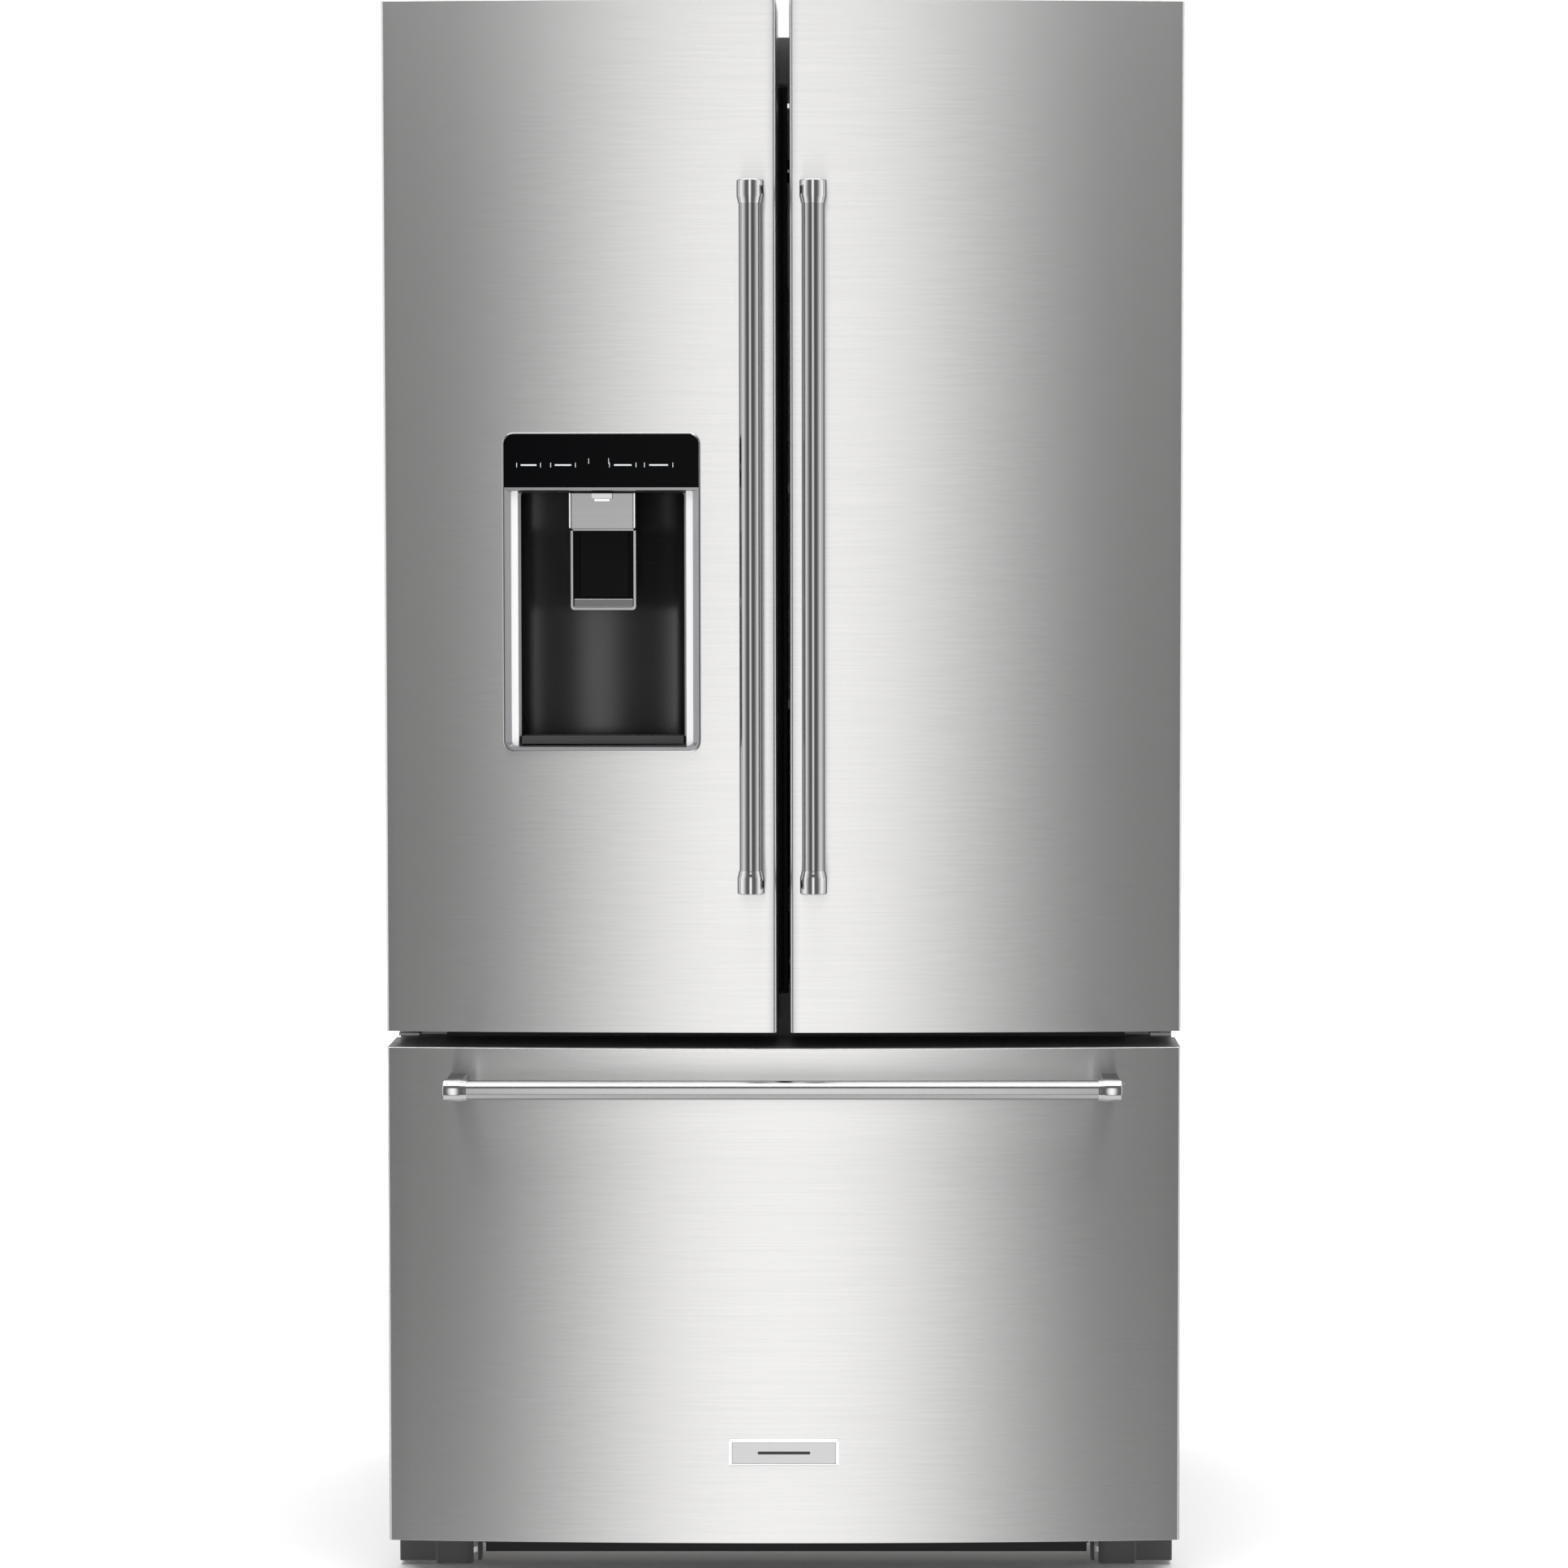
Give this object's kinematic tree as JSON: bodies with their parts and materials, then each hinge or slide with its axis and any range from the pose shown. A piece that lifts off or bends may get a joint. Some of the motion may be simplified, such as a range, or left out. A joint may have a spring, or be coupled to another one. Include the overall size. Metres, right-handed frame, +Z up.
{
  "type": "french door refrigerator",
  "caption": "Free-standing refrigerator with bowed side-by-side upper doors, a water and ice dispenser, bar handles and a pull-out freezer drawer below.",
  "frame": {"origin": "centre of the footprint, on the floor", "axes": "+Z up, -Y out of the front, +X to the viewer's right when facing the doors"},
  "size_m": [0.905, 0.79, 1.8],
  "materials": {
    "stainless_front": "horizontal brushed satin",
    "handle_steel": "brushed bar with polished ends",
    "cabinet_paint": "fine textured grey",
    "insulation": "closed-cell foam",
    "liner_white": "smooth white",
    "gasket_grey": "soft magnetic seal",
    "flap_grey": "satin",
    "clear_shelf": "clear tempered panel in a frame",
    "clear_bin": "clear moulded",
    "ice_box_white": "smooth white",
    "basket_white": "coated wire and plastic",
    "dispenser_trim": "polished to satin",
    "dispenser_glass": "black gloss",
    "dispenser_cavity": "charcoal",
    "dispenser_nozzle": "brushed block",
    "dispenser_paddle": "black pad in a bright frame",
    "drip_tray": "dark grille",
    "dark_grille": "black",
    "foot_grey": "satin dark grey",
    "zinc_hardware": "zinc plated",
    "machine_cover": "grey",
    "black_metal": "black enamel",
    "black_plastic": "black",
    "bare_aluminium": "thin fins"
  },
  "bodies": {
    "cabinet": {"cabinet_shell": "cabinet_paint", "back_panel": "zinc_hardware", "insulation_foam": "insulation", "fridge_liner": "liner_white", "freezer_liner": "liner_white", "base_pan": "zinc_hardware", "base_grille": "dark_grille", "foot_cover_left": "foot_grey", "foot_cover_right": "foot_grey", "top_hinge_left": "zinc_hardware", "top_hinge_right": "zinc_hardware", "mid_hinge_left": "zinc_hardware", "mid_hinge_right": "zinc_hardware", "compressor": "black_metal", "condenser": "zinc_hardware", "machine_cover": "machine_cover", "evaporator": "bare_aluminium", "evaporator_cover": "liner_white", "air_tower": "liner_white", "shelf_upper_left": "clear_shelf", "shelf_upper_right": "clear_shelf", "shelf_lower": "clear_shelf", "crisper_cover": "clear_shelf"},
    "door_left": {"door_left_skin": "stainless_front", "door_left_liner": "liner_white", "door_left_gasket": "gasket_grey", "door_left_handle": "handle_steel", "dispenser_bezel": "dispenser_trim", "dispenser_panel": "dispenser_glass", "dispenser_cavity": "dispenser_cavity", "dispenser_nozzle": "dispenser_nozzle", "door_bin_left": "clear_bin", "ice_box": "ice_box_white"},
    "paddle": {"dispenser_paddle": "dispenser_paddle"},
    "drip_tray": {"drip_tray": "drip_tray"},
    "flap": {"mullion_flap": "flap_grey"},
    "door_right": {"door_right_skin": "stainless_front", "door_right_liner": "liner_white", "door_right_gasket": "gasket_grey", "door_right_handle": "handle_steel", "door_bin_right_1": "clear_bin", "door_bin_right_2": "clear_bin", "door_bin_right_3": "clear_bin"},
    "freezer_drawer": {"drawer_front": "stainless_front", "drawer_liner": "liner_white", "drawer_gasket": "gasket_grey", "drawer_handle": "handle_steel", "lower_basket": "basket_white"},
    "drawer_slides": {"drawer_slide_left": "zinc_hardware", "drawer_slide_right": "zinc_hardware"},
    "upper_basket": {"upper_basket": "basket_white"},
    "crisper_left": {"crisper_left": "clear_bin"},
    "crisper_right": {"crisper_right": "clear_bin"},
    "pantry_drawer": {"pantry_drawer": "clear_bin"},
    "leg_left": {"leveling_leg_left": "zinc_hardware"},
    "leg_right": {"leveling_leg_right": "zinc_hardware"},
    "roller_left": {"rear_roller_left": "black_plastic"},
    "roller_right": {"rear_roller_right": "black_plastic"},
    "condenser_fan": {"condenser_fan": "black_plastic"},
    "evaporator_fan": {"evaporator_fan": "black_plastic"}
  },
  "joints": [
    {"name": "door_left_hinge", "type": "hinge", "parent": "cabinet", "child": "door_left", "pos_m": [-0.4325, -0.262, 0.635], "axis": [0, 0, -1], "range_deg": [0, 120]},
    {"name": "door_right_hinge", "type": "hinge", "parent": "cabinet", "child": "door_right", "pos_m": [0.4325, -0.262, 0.635], "axis": [0, 0, 1], "range_deg": [0, 120]},
    {"name": "flap_hinge", "type": "hinge", "parent": "door_left", "child": "flap", "pos_m": [-0.04, -0.209, 0.665], "axis": [0, 0, 1], "range_deg": [0, 90]},
    {"name": "freezer_drawer_slide", "type": "slide", "parent": "cabinet", "child": "freezer_drawer", "axis": [0, -1, 0], "range_m": [0, 0.38]},
    {"name": "drawer_slide_travel", "type": "slide", "parent": "cabinet", "child": "drawer_slides", "axis": [0, -1, 0], "range_m": [0, 0.19]},
    {"name": "upper_basket_slide", "type": "slide", "parent": "cabinet", "child": "upper_basket", "axis": [0, -1, 0], "range_m": [0, 0.228]},
    {"name": "crisper_left_slide", "type": "slide", "parent": "cabinet", "child": "crisper_left", "axis": [0, -1, 0], "range_m": [0, 0.12]},
    {"name": "crisper_right_slide", "type": "slide", "parent": "cabinet", "child": "crisper_right", "axis": [0, -1, 0], "range_m": [0, 0.12]},
    {"name": "pantry_drawer_slide", "type": "slide", "parent": "cabinet", "child": "pantry_drawer", "axis": [0, -1, 0], "range_m": [0, 0.12]},
    {"name": "paddle_pivot", "type": "hinge", "parent": "door_left", "child": "paddle", "pos_m": [-0.20475, -0.27, 1.2046], "axis": [1, 0, 0], "range_deg": [0, 6], "stiffness_Nm_per_rad": 0.4},
    {"name": "drip_tray_pull", "type": "slide", "parent": "door_left", "child": "drip_tray", "axis": [0, -1, 0], "range_m": [0, 0.03]},
    {"name": "condenser_fan_spin", "type": "hinge", "parent": "cabinet", "child": "condenser_fan", "pos_m": [0.01, 0.312, 0.17], "axis": [1, 0, 0], "continuous": true},
    {"name": "evaporator_fan_spin", "type": "hinge", "parent": "cabinet", "child": "evaporator_fan", "pos_m": [0, 0.1435, 0.515], "axis": [0, 1, 0], "continuous": true},
    {"name": "roller_left_spin", "type": "hinge", "parent": "cabinet", "child": "roller_left", "pos_m": [-0.4, 0.34, 0.018], "axis": [1, 0, 0], "continuous": true},
    {"name": "leg_left_turn", "type": "hinge", "parent": "cabinet", "child": "leg_left", "pos_m": [-0.38, -0.18, 0], "axis": [0, 0, 1], "continuous": true},
    {"name": "roller_right_spin", "type": "hinge", "parent": "cabinet", "child": "roller_right", "pos_m": [0.4, 0.34, 0.018], "axis": [1, 0, 0], "continuous": true},
    {"name": "leg_right_turn", "type": "hinge", "parent": "cabinet", "child": "leg_right", "pos_m": [0.38, -0.18, 0], "axis": [0, 0, 1], "continuous": true}
  ],
  "couplings": [
    {"joint": "flap_hinge", "follows": "door_left_hinge", "ratio": 0.72},
    {"joint": "drawer_slide_travel", "follows": "freezer_drawer_slide", "ratio": 0.5},
    {"joint": "upper_basket_slide", "follows": "freezer_drawer_slide", "ratio": 0.6}
  ]
}
